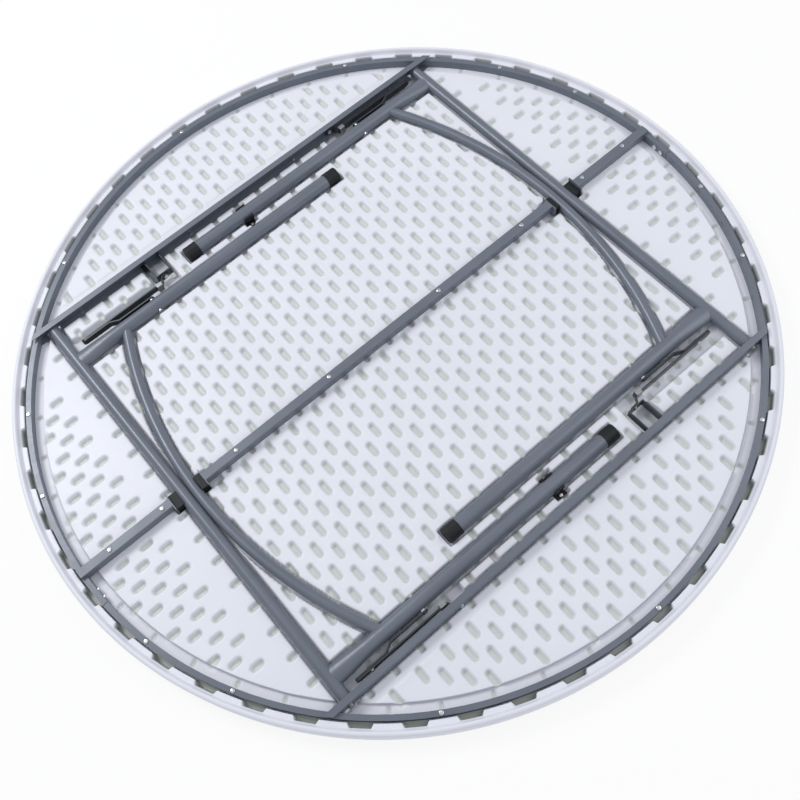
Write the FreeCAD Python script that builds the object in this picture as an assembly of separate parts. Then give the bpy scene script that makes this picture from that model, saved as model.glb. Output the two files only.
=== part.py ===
"""Round folding table, 1600 mm across, lying face down with its legs folded.

Frame: origin at the centre of the tabletop's outer face, which lies on the
floor. +Z points up, out of the underside. The two side rails run along X.
Leg set A turns about the pivot tube at -X, leg set B about the one at +X,
and set B is set A turned half a turn about Z. Millimetres.
"""
import FreeCAD, Part
import math
import os

V = FreeCAD.Vector
ORIGIN = V(0, 0, 0)
X_AXIS = V(1, 0, 0)
Y_AXIS = V(0, 1, 0)
Z_AXIS = V(0, 0, 1)

# ---- driving dimensions: tabletop ----
TABLE_R = 800.0            # outer radius of the tabletop
RIM_H = 45.0               # height of the rim, the panel's thickest place
FIELD_H = 24.0             # height of the underside inside the rim
SKIN = 3.0                 # wall of the hollow moulded panel
RIM_EDGE = 6.0             # rounding of the rim's outer edges
LEDGE_H = 16.0             # groove floor that carries rails and ring
LEDGE_R = 741.0            # inner edge of the ring's ledge
BRACE_FLOOR_H = 10.0       # floor of the brace, pivot and saddle pockets
ARC_FLOOR_H = 12.0         # floor of the arc brace troughs
GROOVE_GAP = 2.0           # air between a frame member and its groove wall
TROUGH_GAP = 4.0           # air between a moving tube and its trough wall

# ---- driving dimensions: steel frame ----
SHEET = 1.5                # wall of rails and ring
RAIL_TOP = 44.0            # top face of side, centre and stub rails
RAIL_Y = 529.0             # outer face of a side rail's web
RAIL_TOP_FLANGE = 14.0
RAIL_FOOT_FLANGE = 18.0
RING_R = 772.0             # outer edges of the ring's flanges
RING_W = 11.0              # width of the ring's flanges
RING_TOP = 36.0            # top face of the ring
RING_LAP = 10.0            # how far rail ends lie on the ring's top flange
CENTRE_W = 20.0            # width of centre and stub rails
RAIL_RADIUS = 1.5          # bend radius along the rails' long edges

# ---- driving dimensions: legs ----
PIVOT_X = 524.0            # pivot axis to the table's centre line
AXIS_H = 26.0              # height of pivot, leg and brace pin axes
PIVOT_TUBE_R = 12.5
PIVOT_TUBE_WALL = 1.5
LEG_R = 16.0
LEG_WALL = 1.2
LEG_LENGTH = 718.0         # pivot axis to the foot's end
LEG_FLOOR_GAP = 3.0        # air under a folded leg
LEG_SPREAD = 60.0          # outer leg's line beyond the inner leg's
FLARE_LENGTH = 110.0       # length of the pressed, widened leg root
FLARE_HALF_W = 21.0
FLARE_HALF_H = 11.0
ARC_TUBE_R = 11.0
ARC_BEND_R = 1000.0        # centre line radius of the arc brace
ARC_WALL = 1.2
CAP_WALL = 1.5             # wall of the foot cap's sleeve
CAP_LENGTH = 32.0
CAP_END = 4.0
CAP_GAP = 0.05

# ---- driving dimensions: folding braces ----
RAIL_PIN = 265.0           # pivot axis to the brace's pin on the rail
LEG_PIN = 206.0            # pivot axis to the brace's pin on the leg
LINK_H = 16.0              # height of the flat bars
LINK_T = 3.0               # thickness of the flat bars
LINK_TAIL = 35.0           # bar past the elbow
LINK_END = 8.0             # bar past an end pin, its round end's radius
LINK_GAP = 1.0             # air between the two bars at the elbow
LEG_LINK_OFF = 4.0         # leg surface to the leg link
ELBOW_STEP = 11.0          # sideways step in the leg link
TAB_STEP = 14.0            # sideways step in the rail link at its pin
TAB_FLAT = 9.0             # rail pin to the start of the step
TAB_RUN = 9.0              # length of that step
ELBOW_FLAT = 82.0          # leg pin to the start of the leg link's step
ELBOW_RUN = 20.0
PIN_R = 3.0
PIN_GAP = 0.05             # running clearance of a bar on its pin
HEAD_R = 5.0
HEAD_T = 2.0
FACE_GAP = 0.2
RING_LOOP_L = 14.0         # lock ring: length along the bar
RING_LOOP_T = 1.5
RING_LOOP_GAP = 0.6
RING_LOOP_HOME = 26.0      # rail pin to the middle of the lock ring at rest

# ---- driving dimensions: small parts ----
BRACE_SIDE = 44.0          # room beside an inner leg for its brace
OUTER_BRACE_ROOM = 19.0    # room beside an outer leg, less its two flat bars
BRACKET_W = 40.0
BRACKET_T = 2.5
BRACKET_HALF_H = 11.0
BRACKET_LIP = 9.0          # foot that spreads the bracket's load on the rail
SADDLE_HALF_W = 17.0
SADDLE_T = 15.0
SADDLE_LOW = 12.0
SADDLE_TOP = 36.0
FLANGE_HALF_W = 20.0
FLANGE_T = 2.0
SWING_GAP = 0.4            # air between a saddle and the tube it holds
PLUG_LENGTH = 25.0
PLUG_FLANGE = 2.0
PIVOT_PIN_R = 4.0
PIVOT_HEAD_R = 6.5
PIVOT_HEAD_T = 4.0
CLIP_X = 29.0
CLIP_W = 24.0
CLIP_T = 3.0
CLIP_BASE_T = 2.4
CLIP_FOOT = 27.0
CLIP_RISE = 8.0            # how far the clip's arms reach above the leg axis
CLIP_GAP = 0.3
SCREW_R = 2.0
SCREW_HEAD_R = 4.5
SCREW_HEAD_T = 2.4
SCREW_HOLE_GAP = 0.3
SCREW_BOSS = 8.0           # solid plastic around each screw
SCREW_BITE = 9.0           # screw length inside the plastic
CENTRE_SCREWS = (150.0, 390.0)
STUB_SCREWS = (573.0, 698.0)
SIDE_SCREWS = (150.0, 450.0)
RING_SCREW_DEG = (14.5, 29.0, 57.5, 90.0, 122.5, 151.0, 165.5)
SPLICE_DEG = 5.9           # how far the upper half ring runs past the X axis
SPLICE_TONGUE_DEG = 2.5
SPLICE_BOLT_DEG = (3.3, 4.8)
SPLICE_GAP = 0.15
BOLT_R = 3.0

# ---- worked out from the above ----
LEG_FLOOR_H = AXIS_H - LEG_R - LEG_FLOOR_GAP
CAP_R = LEG_R + CAP_WALL
OUTER_LEG_Y = RAIL_Y - RAIL_FOOT_FLANGE - OUTER_BRACE_ROOM - 2 * LINK_T - LEG_R
INNER_LEG_Y = OUTER_LEG_Y - LEG_SPREAD
RING_IN = RING_R - RING_W
RING_SCREW_R = RING_R - RING_W / 2
FIELD_R = RING_R + GROOVE_GAP
CENTRE_HALF = CENTRE_W / 2
LEG_END_X = LEG_LENGTH - PIVOT_X
ARC_TOUCH_X = PIVOT_X - PIVOT_TUBE_R - ARC_TUBE_R
ARC_MID_Y = (INNER_LEG_Y - OUTER_LEG_Y) / 2
ARC_HALF_SPAN = (INNER_LEG_Y + OUTER_LEG_Y) / 2
BRACE_REACH = math.hypot(RAIL_PIN, LEG_PIN)
RAIL_LINK = (BRACE_REACH + RAIL_PIN - LEG_PIN) / 2
LEG_LINK = (BRACE_REACH - RAIL_PIN + LEG_PIN) / 2
TUBE_END_Y = RAIL_Y - SHEET - PLUG_FLANGE - 1.5


# ---- helpers ----
def box(x0, x1, y0, y1, z0, z1):
    """Block between two corners."""
    return Part.makeBox(x1 - x0, y1 - y0, z1 - z0, V(x0, y0, z0))


def rod(radius, start, end):
    """Round bar between two points."""
    run = end - start
    return Part.makeCylinder(radius, run.Length, start, run)


def upright(radius, x, y, z0, z1):
    """Upright round bar."""
    return rod(radius, V(x, y, z0), V(x, y, z1))


def disc(radius, z0, z1):
    """Disc about the table's own axis."""
    return upright(radius, 0, 0, z0, z1)


def half_turn(shape):
    """Copy of a shape, turned half a turn about the table's axis."""
    turned = shape.copy()
    turned.rotate(ORIGIN, Z_AXIS, 180)
    return turned


def flipped(shape):
    """Copy of a shape, mirrored across the XZ plane."""
    return shape.mirror(ORIGIN, Y_AXIS)


def both_ends(shape):
    """A shape and its half turn copy."""
    return [shape, half_turn(shape)]


def joined(shapes):
    """One solid from shapes that meet."""
    whole = shapes[0].fuse(list(shapes[1:])) if len(shapes) > 1 else shapes[0]
    return whole.removeSplitter()


def group(shapes):
    """Separate solids that share one node."""
    return Part.makeCompound(list(shapes))


def prism(points, rise):
    """Closed outline pushed along a vector."""
    outline = Part.makePolygon([*points, points[0]])
    return Part.Face(outline).extrude(rise)


def spun_section(points, start_deg, end_deg):
    """Section in the XZ plane, given as radius and height, spun about Z."""
    corners = [V(r, 0, z) for r, z in points]
    face = Part.Face(Part.makePolygon([*corners, corners[0]]))
    solid = face.revolve(ORIGIN, Z_AXIS, end_deg - start_deg)
    solid.rotate(ORIGIN, Z_AXIS, start_deg)
    return solid


def polar(radius, degrees, z=0.0):
    """Point at a radius and an angle from +X."""
    turn = math.radians(degrees)
    return V(radius * math.cos(turn), radius * math.sin(turn), z)


def pan_screw(seat, length):
    """Pan head screw pointing down, its head standing on seat."""
    head = Part.makeCylinder(SCREW_HEAD_R, SCREW_HEAD_T, seat)
    top_edges = [e for e in head.Edges if abs(e.CenterOfMass.z - seat.z - SCREW_HEAD_T) < 1e-6]
    head = head.makeFillet(SCREW_HEAD_T * 0.6, top_edges)
    shank = rod(SCREW_R, seat - Z_AXIS * length, seat)
    return joined([head, shank])


def screw_places():
    """Every screw as its seat and its shank length, by group name."""
    foot = LEDGE_H + SHEET
    web_room = SHEET + SCREW_HEAD_R + 0.7
    rail_mid = RAIL_Y - web_room
    clip_seat = LEG_FLOOR_H + CLIP_BASE_T
    centre_len = RAIL_TOP - FIELD_H + SCREW_BITE
    ring = [polar(RING_SCREW_R, turn, RING_TOP) for turn in RING_SCREW_DEG]
    side = [V(s * x, rail_mid, foot) for x in SIDE_SCREWS for s in (-1, 1)]
    centre = [V(x, 0, RAIL_TOP) for x in CENTRE_SCREWS]
    stub = [V(x, 0, RAIL_TOP) for x in STUB_SCREWS]
    clip = [V(-CLIP_X, OUTER_LEG_Y + s * (CLIP_FOOT - 5), clip_seat) for s in (-1, 1)]
    foot_len = SHEET + SCREW_BITE
    ring_len = RING_TOP - LEDGE_H + SCREW_BITE
    clip_len = CLIP_BASE_T + LEG_FLOOR_H - SKIN
    return {
        "ring": [(p, ring_len) for p in ring],
        "side": [(p, foot_len) for p in side],
        "centre": [(p, centre_len) for p in centre],
        "stub": [(p, centre_len) for p in stub],
        "clip": [(p, clip_len) for p in clip],
    }


def screws(name):
    """All screws of one group, at both ends of the table."""
    made = []
    for seat, length in screw_places()[name]:
        made += both_ends(pan_screw(seat, length))
    return group(made)


def screw_holes(name, radius, z0, z1):
    """Upright bars on every screw axis of one group."""
    bars = []
    for seat, _ in screw_places()[name]:
        bars += both_ends(upright(radius, seat.x, seat.y, z0, z1))
    return bars


# ---- tabletop ----
def troughs(grow):
    """Hollows in the underside that take frame, legs and braces.

    grow widens and deepens each one, which gives the inner skin's shape.
    """
    top = RIM_H + 1
    side = GROOVE_GAP + grow
    tube = TROUGH_GAP + grow
    half = []
    half.append(box(-TABLE_R, TABLE_R, RAIL_Y - RAIL_FOOT_FLANGE - side, RAIL_Y + side,
                    LEDGE_H - grow, top).common(disc(FIELD_R + grow, 0, top)))
    leg_x = LEG_END_X + TROUGH_GAP + grow
    pivot_x = PIVOT_X + grow
    for leg_y, near_x, far_x in ((INNER_LEG_Y, -pivot_x, leg_x), (OUTER_LEG_Y, -leg_x, pivot_x)):
        half.append(box(near_x, far_x, leg_y - LEG_R - tube, leg_y + LEG_R + tube,
                        LEG_FLOOR_H - grow, top))
    pin_x = PIVOT_X - RAIL_PIN
    brace_in = pin_x - BRACKET_W / 2 - tube
    half.append(box(-pivot_x, -brace_in, INNER_LEG_Y, INNER_LEG_Y + LEG_R + BRACE_SIDE + grow,
                    BRACE_FLOOR_H - grow, top))
    half.append(box(brace_in, pivot_x, OUTER_LEG_Y, RAIL_Y - SHEET + grow,
                    BRACE_FLOOR_H - grow, top))
    half.append(box(-pin_x - BRACKET_W / 2 - BRACKET_LIP - tube, -brace_in, INNER_LEG_Y, RAIL_Y - 2 + grow,
                    BRACE_FLOOR_H - grow, top))
    for leg_y, root_x in ((INNER_LEG_Y, -PIVOT_X), (OUTER_LEG_Y, PIVOT_X - FLARE_LENGTH)):
        half.append(box(root_x - grow, root_x + FLARE_LENGTH + grow, leg_y - FLARE_HALF_W - tube,
                        leg_y + FLARE_HALF_W + tube, LEG_FLOOR_H - grow, top))
    pivot_half = PIVOT_TUBE_R + tube
    half.append(box(PIVOT_X - pivot_half, PIVOT_X + pivot_half, 0,
                    RAIL_Y + PIVOT_HEAD_T + GROOVE_GAP + grow, BRACE_FLOOR_H - grow, top))
    half.append(box(-PIVOT_X - pivot_half, -PIVOT_X + pivot_half, 0,
                    RAIL_Y + PIVOT_HEAD_T + GROOVE_GAP + grow, BRACE_FLOOR_H - grow, top))
    half.append(box(-CLIP_X - CLIP_W / 2 - tube, -CLIP_X + CLIP_W / 2 + tube,
                    OUTER_LEG_Y - CLIP_FOOT - tube, OUTER_LEG_Y + CLIP_FOOT + tube,
                    LEG_FLOOR_H - grow, top))
    saddle_in = ARC_TOUCH_X - ARC_TUBE_R - SADDLE_T - FLANGE_T - tube
    saddle_out = PIVOT_X + PIVOT_TUBE_R + SADDLE_T + FLANGE_T + tube
    half.append(box(saddle_in, saddle_out, -FLANGE_HALF_W - side, FLANGE_HALF_W + side,
                    BRACE_FLOOR_H - grow, top))
    bend_x = ARC_BEND_R - ARC_TOUCH_X
    bend_half = ARC_TUBE_R + tube
    band = upright(ARC_BEND_R + bend_half, bend_x, ARC_MID_Y, ARC_FLOOR_H - grow, top)
    band = band.cut(upright(ARC_BEND_R - bend_half, bend_x, ARC_MID_Y, 0, top + 1))
    half.append(band.common(box(-pivot_x, 0, -OUTER_LEG_Y - grow, INNER_LEG_Y + grow, 0, top)))
    whole = []
    for cut in half:
        whole += both_ends(cut)
    return whole


def ring_groove(grow):
    """Groove that takes the ring."""
    top = RIM_H + 1
    groove = disc(FIELD_R + grow, LEDGE_H - grow, top)
    return groove.cut(disc(LEDGE_R - grow, 0, top + 1))


def panel_body(grow):
    """Panel blank less its hollows; grow shrinks it to the inner skin."""
    low = grow
    blank = disc(TABLE_R - grow, low, RIM_H - grow)
    if grow == 0:
        blank = blank.makeFillet(RIM_EDGE, [e for e in blank.Edges if e.Closed])
    field = disc(FIELD_R + grow, FIELD_H - grow, RIM_H + 1)
    return blank.cut([field, ring_groove(grow), *troughs(grow)])


def table_top():
    """Hollow moulded tabletop."""
    outside = panel_body(0.0)
    inside = panel_body(SKIN)
    bosses = []
    pilots = []
    for name in screw_places():
        bosses += screw_holes(name, SCREW_BOSS, 0, RIM_H)
    for name, places in screw_places().items():
        for seat, length in places:
            low = seat.z - length
            pilots += both_ends(upright(SCREW_R, seat.x, seat.y, low, RAIL_TOP))
    inside = inside.cut(bosses)
    keep = [s for s in inside.Solids if s.Volume > 1000]
    return outside.cut(keep).cut(pilots)


# ---- steel frame ----
def channel_section(inset, wall):
    """Half ring section as radius and height; inset nests it inside."""
    web = RING_IN + inset
    low = LEDGE_H + inset
    high = RING_TOP - inset
    return [
        (RING_R, low), (web, low), (web, high), (RING_R, high),
        (RING_R, high - wall), (web + wall, high - wall),
        (web + wall, low + wall), (RING_R, low + wall),
    ]


def splice_holes():
    """Bars on the splice bolts' axes, at both splices."""
    bars = []
    for turn in SPLICE_BOLT_DEG:
        for angle in (-turn, 180 + turn):
            bars.append(rod(BOLT_R, polar(RING_IN - 6, angle, AXIS_H),
                            polar(RING_IN + 9, angle, AXIS_H)))
    return bars


def ring_half_upper():
    """Half ring on the +Y side; its ends run past the X axis."""
    ring = spun_section(channel_section(0, SHEET), -SPLICE_DEG, 180 + SPLICE_DEG)
    return ring.cut(screw_holes("ring", SCREW_R + SCREW_HOLE_GAP, 0, RING_TOP + 1) + splice_holes())


def ring_half_lower():
    """Half ring on the -Y side; its stepped ends slip into the other half."""
    nest = SHEET + SPLICE_GAP
    butt = SPLICE_DEG + 0.1
    ring = spun_section(channel_section(0, SHEET), 180 + butt, 360 - butt)
    parts = [ring]
    for start, end in ((180 - SPLICE_TONGUE_DEG, 181 + butt), (359 - butt, 360 + SPLICE_TONGUE_DEG)):
        parts.append(spun_section(channel_section(nest, SHEET), start, end))
    for start, end in ((180 + butt, 181 + butt), (359 - butt, 360 - butt)):
        parts.append(spun_section(channel_section(0, SHEET + nest), start, end))
    whole = joined(parts)
    return whole.cut(screw_holes("ring", SCREW_R + SCREW_HOLE_GAP, 0, RING_TOP + 1) + splice_holes())


def splice_bolts():
    """Four bolts across the ring's two splices."""
    made = []
    for turn in SPLICE_BOLT_DEG:
        for angle in (-turn, 180 + turn):
            shank = rod(BOLT_R - 0.1, polar(RING_IN + 9, angle, AXIS_H),
                        polar(RING_IN - 0.1, angle, AXIS_H))
            head = rod(BOLT_R * 1.8, polar(RING_IN - 0.1, angle, AXIS_H),
                       polar(RING_IN - 3.1, angle, AXIS_H))
            made.append(joined([shank, head]))
    return group(made)


def splice_nuts():
    """Four nuts inside the ring at its splices."""
    made = []
    seat = RING_IN + 2 * SHEET + SPLICE_GAP + 0.2
    for turn in SPLICE_BOLT_DEG:
        for angle in (-turn, 180 + turn):
            centre = polar(seat, angle, AXIS_H)
            out = polar(1, angle)
            across = 5.0 / math.cos(math.radians(30))
            side = Z_AXIS.cross(out)
            corners = []
            for k in range(6):
                bend = math.radians(60 * k)
                corners.append(centre + side * (across * math.cos(bend)) + Z_AXIS * (across * math.sin(bend)))
            nut = prism(corners, out * 4.5)
            made.append(nut.cut(rod(BOLT_R, centre - out * 20, centre + out * 20)))
    return group(made)


def side_rail():
    """Channel rail on the +Y side, open towards the middle."""
    top_in = RAIL_Y - RAIL_TOP_FLANGE
    foot_in = RAIL_Y - RAIL_FOOT_FLANGE
    web_in = RAIL_Y - SHEET
    corners = [
        (foot_in, LEDGE_H), (RAIL_Y, LEDGE_H), (RAIL_Y, RAIL_TOP), (top_in, RAIL_TOP),
        (top_in, RAIL_TOP - SHEET), (web_in, RAIL_TOP - SHEET),
        (web_in, LEDGE_H + SHEET), (foot_in, LEDGE_H + SHEET),
    ]
    points = [V(-TABLE_R, y, z) for y, z in corners]
    rail = prism(points, X_AXIS * (2 * TABLE_R))
    bends = [e for e in rail.Edges if len(e.Vertexes) == 2 and e.Length > TABLE_R
             and abs(e.CenterOfMass.y - RAIL_Y) < 0.01]
    rail = rail.makeFillet(SHEET * 0.9, bends)
    body = rail.common(disc(RING_IN, 0, RING_TOP))
    lap = rail.common(disc(RING_IN + RING_LAP, RING_TOP, RAIL_TOP))
    rail = joined([body, lap])
    notch = PIVOT_TUBE_R + TROUGH_GAP
    cuts = screw_holes("side", SCREW_R + SCREW_HOLE_GAP, 0, 30)
    for x in (-PIVOT_X, PIVOT_X):
        cuts.append(box(x - notch, x + notch, foot_in - 1, web_in, LEDGE_H - 1, LEDGE_H + SHEET))
        cuts.append(rod(PIVOT_PIN_R + PIN_GAP, V(x, web_in - 1, AXIS_H), V(x, RAIL_Y + 1, AXIS_H)))
    pin_x = PIVOT_X - RAIL_PIN
    cuts.append(rod(PIN_R + PIN_GAP, V(pin_x, web_in - 1, AXIS_H), V(pin_x, RAIL_Y + 1, AXIS_H)))
    return rail.cut(cuts)


def top_hat(x0, x1):
    """Channel along X, open downwards, standing on the panel."""
    outer = box(x0, x1, -CENTRE_HALF, CENTRE_HALF, FIELD_H, RAIL_TOP)
    edges = [e for e in outer.Edges if e.Length > CENTRE_W * 2 and e.CenterOfMass.z > RAIL_TOP - 0.01]
    outer = outer.makeFillet(RAIL_RADIUS, edges)
    inner = box(x0 - 1, x1 + 1, -CENTRE_HALF + SHEET, CENTRE_HALF - SHEET, FIELD_H - 1, RAIL_TOP - SHEET)
    return outer.cut(inner)


def end_flange(x0, x1):
    """Upright plate at a rail's end, wider than the rail."""
    return box(x0, x1, -FLANGE_HALF_W, FLANGE_HALF_W, SADDLE_LOW, RAIL_TOP)


def inner_face_x():
    """Outer face of the centre rail's end flange."""
    return ARC_TOUCH_X - ARC_TUBE_R - SADDLE_T


def outer_face_x():
    """Inner face of a stub rail's end flange."""
    return PIVOT_X + PIVOT_TUBE_R + SADDLE_T


def centre_rail():
    """Rail between the two pivot tubes, with a flange at each end."""
    end = inner_face_x()
    parts = [top_hat(-end, end), end_flange(end - FLANGE_T, end), end_flange(-end, -end + FLANGE_T)]
    return joined(parts).cut(screw_holes("centre", SCREW_R + SCREW_HOLE_GAP, 0, RAIL_TOP + 1))


def stub_rail():
    """Rail from the pivot tube out to the ring at +X."""
    start = outer_face_x()
    bar = top_hat(start, TABLE_R)
    body = bar.common(disc(RING_IN, 0, RING_TOP))
    lap = bar.common(disc(RING_IN + RING_LAP, RING_TOP, RAIL_TOP))
    rail = joined([body, lap, end_flange(start, start + FLANGE_T)])
    return rail.cut(screw_holes("stub", SCREW_R + SCREW_HOLE_GAP, 0, RAIL_TOP + 1))


def inner_saddle():
    """Block on the centre rail's end; the arc brace swings past it."""
    face = inner_face_x()
    block = box(face, ARC_TOUCH_X, -SADDLE_HALF_W, SADDLE_HALF_W, SADDLE_LOW, SADDLE_TOP)
    bow = (abs(ARC_MID_Y) + SADDLE_HALF_W) ** 2 / (2 * ARC_BEND_R)
    reach = PIVOT_X - ARC_TOUCH_X + ARC_TUBE_R + bow + SWING_GAP
    axis_start = V(PIVOT_X, -TABLE_R, AXIS_H)
    return block.cut(rod(reach, axis_start, axis_start + Y_AXIS * (2 * TABLE_R)))


def outer_saddle():
    """Block on the stub rail's end, cupped round the pivot tube."""
    face = outer_face_x()
    block = box(PIVOT_X + PIVOT_TUBE_R * 0.5, face, -SADDLE_HALF_W, SADDLE_HALF_W, SADDLE_LOW, SADDLE_TOP)
    axis_start = V(PIVOT_X, -TABLE_R, AXIS_H)
    return block.cut(rod(PIVOT_TUBE_R + SWING_GAP, axis_start, axis_start + Y_AXIS * (2 * TABLE_R)))


# ---- leg sets: built for set A, whose pivot is at -X ----
def leg_section(x, y, half_w, half_h):
    """Oval across a leg."""
    centre = V(x, y, AXIS_H)
    oval = Part.Ellipse(centre + Y_AXIS * half_w, centre + Z_AXIS * half_h, centre)
    return Part.Wire([oval.toShape()])


def leg_form(y, inset):
    """Round leg that widens and flattens towards its root; inset thins it."""
    rings = [leg_section(LEG_END_X - CAP_END, y, LEG_R - inset + 0.01, LEG_R - inset)]
    steps = 5
    for k in range(steps + 1):
        part = k / steps
        ease = part * part * (3 - 2 * part)
        half_w = LEG_R + (FLARE_HALF_W - LEG_R) * ease - inset + 0.01
        half_h = LEG_R + (FLARE_HALF_H - LEG_R) * ease - inset
        rings.append(leg_section(-PIVOT_X + FLARE_LENGTH * (1 - part), y, half_w, half_h))
    return Part.makeLoft(rings, True, True)


def leg_tube(y):
    """One leg, coped to the pivot tube."""
    tube = leg_form(y, 0).cut(leg_form(y, LEG_WALL))
    start = V(-PIVOT_X, -TABLE_R, AXIS_H)
    tube = tube.cut(rod(PIVOT_TUBE_R, start, start + Y_AXIS * (2 * TABLE_R)))
    pin_x = -PIVOT_X + LEG_PIN
    hole = rod(PIN_R + PIN_GAP, V(pin_x, y - 2 * LEG_R, AXIS_H), V(pin_x, y + 2 * LEG_R, AXIS_H))
    tube = tube.cut(hole)
    return max(tube.Solids, key=lambda s: s.Volume)


def foot_cap(y):
    """Ribbed end cap of a leg."""
    end = LEG_END_X
    start = V(end - CAP_LENGTH, y, AXIS_H)
    cap = Part.makeCylinder(CAP_R, CAP_LENGTH, start, X_AXIS)
    rims = [e for e in cap.Edges if e.Closed and abs(e.CenterOfMass.x - end) < 0.01]
    cap = cap.makeFillet(2.0, rims)
    bore = Part.makeCylinder(LEG_R + CAP_GAP, CAP_LENGTH - CAP_END, start, X_AXIS)
    cap = cap.cut(bore)
    for k in range(4):
        at = V(end - CAP_LENGTH + 6 + 6 * k, y, AXIS_H)
        band = Part.makeCylinder(CAP_R + 1, 2.0, at, X_AXIS)
        cap = cap.cut(band.cut(Part.makeCylinder(CAP_R - 0.7, 2.0, at, X_AXIS)))
    return cap


def pivot_tube():
    """Tube that a leg set turns on."""
    start = V(-PIVOT_X, -TUBE_END_Y, AXIS_H)
    end = V(-PIVOT_X, TUBE_END_Y, AXIS_H)
    return rod(PIVOT_TUBE_R, start, end).cut(rod(PIVOT_TUBE_R - PIVOT_TUBE_WALL, start, end))


def arc_brace():
    """Bent tube from one leg past the pivot tube to the other leg."""
    bend_x = ARC_BEND_R - ARC_TOUCH_X
    centre = V(bend_x, ARC_MID_Y, AXIS_H)
    half_deg = math.degrees(math.asin((ARC_HALF_SPAN + 4) / ARC_BEND_R))

    def bow(radius):
        face = Part.Face(Part.Wire([Part.Circle(V(ARC_BEND_R, 0, 0), Y_AXIS, radius).toShape()]))
        bar = face.revolve(ORIGIN, Z_AXIS, 2 * half_deg)
        bar.rotate(ORIGIN, Z_AXIS, 180 - half_deg)
        bar.translate(centre)
        return bar

    tube = bow(ARC_TUBE_R).cut(bow(ARC_TUBE_R - ARC_WALL))
    for y in (INNER_LEG_Y, -OUTER_LEG_Y):
        tube = tube.cut(leg_form(y, 0))
    return max(tube.Solids, key=lambda s: s.Volume)


def tube_plug():
    """Plastic plug and washer in the +Y end of set A's pivot tube."""
    end = TUBE_END_Y
    body = rod(PIVOT_TUBE_R - PIVOT_TUBE_WALL - CAP_GAP, V(-PIVOT_X, end - PLUG_LENGTH, AXIS_H),
               V(-PIVOT_X, end, AXIS_H))
    washer = rod(PIVOT_TUBE_R, V(-PIVOT_X, end, AXIS_H), V(-PIVOT_X, end + PLUG_FLANGE, AXIS_H))
    bore = rod(PIVOT_PIN_R + PIN_GAP, V(-PIVOT_X, end - PLUG_LENGTH - 1, AXIS_H),
               V(-PIVOT_X, end + PLUG_FLANGE + 1, AXIS_H))
    return joined([body, washer]).cut(bore)


def pivot_pin():
    """Bolt through the rail's web into the plug at the -X, +Y corner."""
    shank = rod(PIVOT_PIN_R, V(-PIVOT_X, TUBE_END_Y - PLUG_LENGTH + 3, AXIS_H), V(-PIVOT_X, RAIL_Y, AXIS_H))
    head = rod(PIVOT_HEAD_R, V(-PIVOT_X, RAIL_Y, AXIS_H), V(-PIVOT_X, RAIL_Y + PIVOT_HEAD_T, AXIS_H))
    return joined([shank, head])


# ---- braces: built beside a leg at +y, swinging towards the pivot at -X ----
def flat_bar(path, start, end):
    """Flat bar on edge with sideways steps and round ends.

    path is a list of x and y points of its near face, start and end are
    the x of its two ends.
    """
    near = [V(x, y, AXIS_H - LINK_H / 2) for x, y in path]
    far = [V(x, y + LINK_T, AXIS_H - LINK_H / 2) for x, y in reversed(path)]
    bar = prism(near + far, Z_AXIS * LINK_H)
    low_y = min(y for _, y in path) - 1
    deep = Y_AXIS * (max(y for _, y in path) - low_y + LINK_T + 1)
    half = LINK_H / 2
    left, right = min(start, end), max(start, end)
    stadium = joined([
        box(left + half, right - half, low_y, low_y + deep.y, AXIS_H - half, AXIS_H + half),
        Part.makeCylinder(half, deep.y, V(left + half, low_y, AXIS_H), Y_AXIS),
        Part.makeCylinder(half, deep.y, V(right - half, low_y, AXIS_H), Y_AXIS),
    ])
    return bar.common(stadium)


def link_faces(leg_y):
    """Near faces of leg link, its stepped end, rail link and its tab."""
    leg_part = leg_y + LEG_R + LEG_LINK_OFF
    elbow = leg_part + ELBOW_STEP
    rail = elbow + LINK_T + LINK_GAP
    return leg_part, elbow, rail, rail + TAB_STEP


def rail_link(leg_y):
    """Brace bar from the rail pin to the elbow and past it."""
    _, _, main, tab = link_faces(leg_y)
    pin_x = -PIVOT_X + RAIL_PIN
    elbow_x = pin_x - RAIL_LINK
    start = pin_x + LINK_END
    end = elbow_x - LINK_TAIL
    path = [(start, tab), (pin_x - TAB_FLAT, tab), (pin_x - TAB_FLAT - TAB_RUN, main), (end, main)]
    bar = flat_bar(path, start, end)
    pin = rod(PIN_R + PIN_GAP, V(pin_x, tab - 1, AXIS_H), V(pin_x, tab + LINK_T + 1, AXIS_H))
    hole = rod(PIN_R, V(elbow_x, main - 1, AXIS_H), V(elbow_x, main + LINK_T + 1, AXIS_H))
    return bar.cut([pin, hole])


def leg_link(leg_y):
    """Brace bar from the leg pin to the elbow, with the heads of both pins."""
    near, elbow, _, _ = link_faces(leg_y)
    pin_x = -PIVOT_X + LEG_PIN
    elbow_x = pin_x - LEG_LINK
    start = pin_x + LINK_END
    end = elbow_x - LINK_TAIL
    step_x = pin_x - ELBOW_FLAT
    path = [(start, near), (step_x, near), (step_x - ELBOW_RUN, elbow), (end, elbow)]
    bar = flat_bar(path, start, end)
    pin_head = rod(HEAD_R, V(pin_x, near + LINK_T - 0.5, AXIS_H), V(pin_x, near + LINK_T + HEAD_T, AXIS_H))
    elbow_head = rod(HEAD_R, V(elbow_x, elbow - HEAD_T, AXIS_H), V(elbow_x, elbow + 0.5, AXIS_H))
    return joined([bar, pin_head, elbow_head])


def elbow_rivet(leg_y):
    """Rivet head and shank on the rail link's side of the elbow."""
    _, _, main, _ = link_faces(leg_y)
    x = -PIVOT_X + RAIL_PIN - RAIL_LINK
    shank = rod(PIN_R, V(x, main + 0.3, AXIS_H), V(x, main + LINK_T, AXIS_H))
    head = rod(HEAD_R, V(x, main + LINK_T, AXIS_H), V(x, main + LINK_T + HEAD_T, AXIS_H))
    return joined([shank, head])


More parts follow.
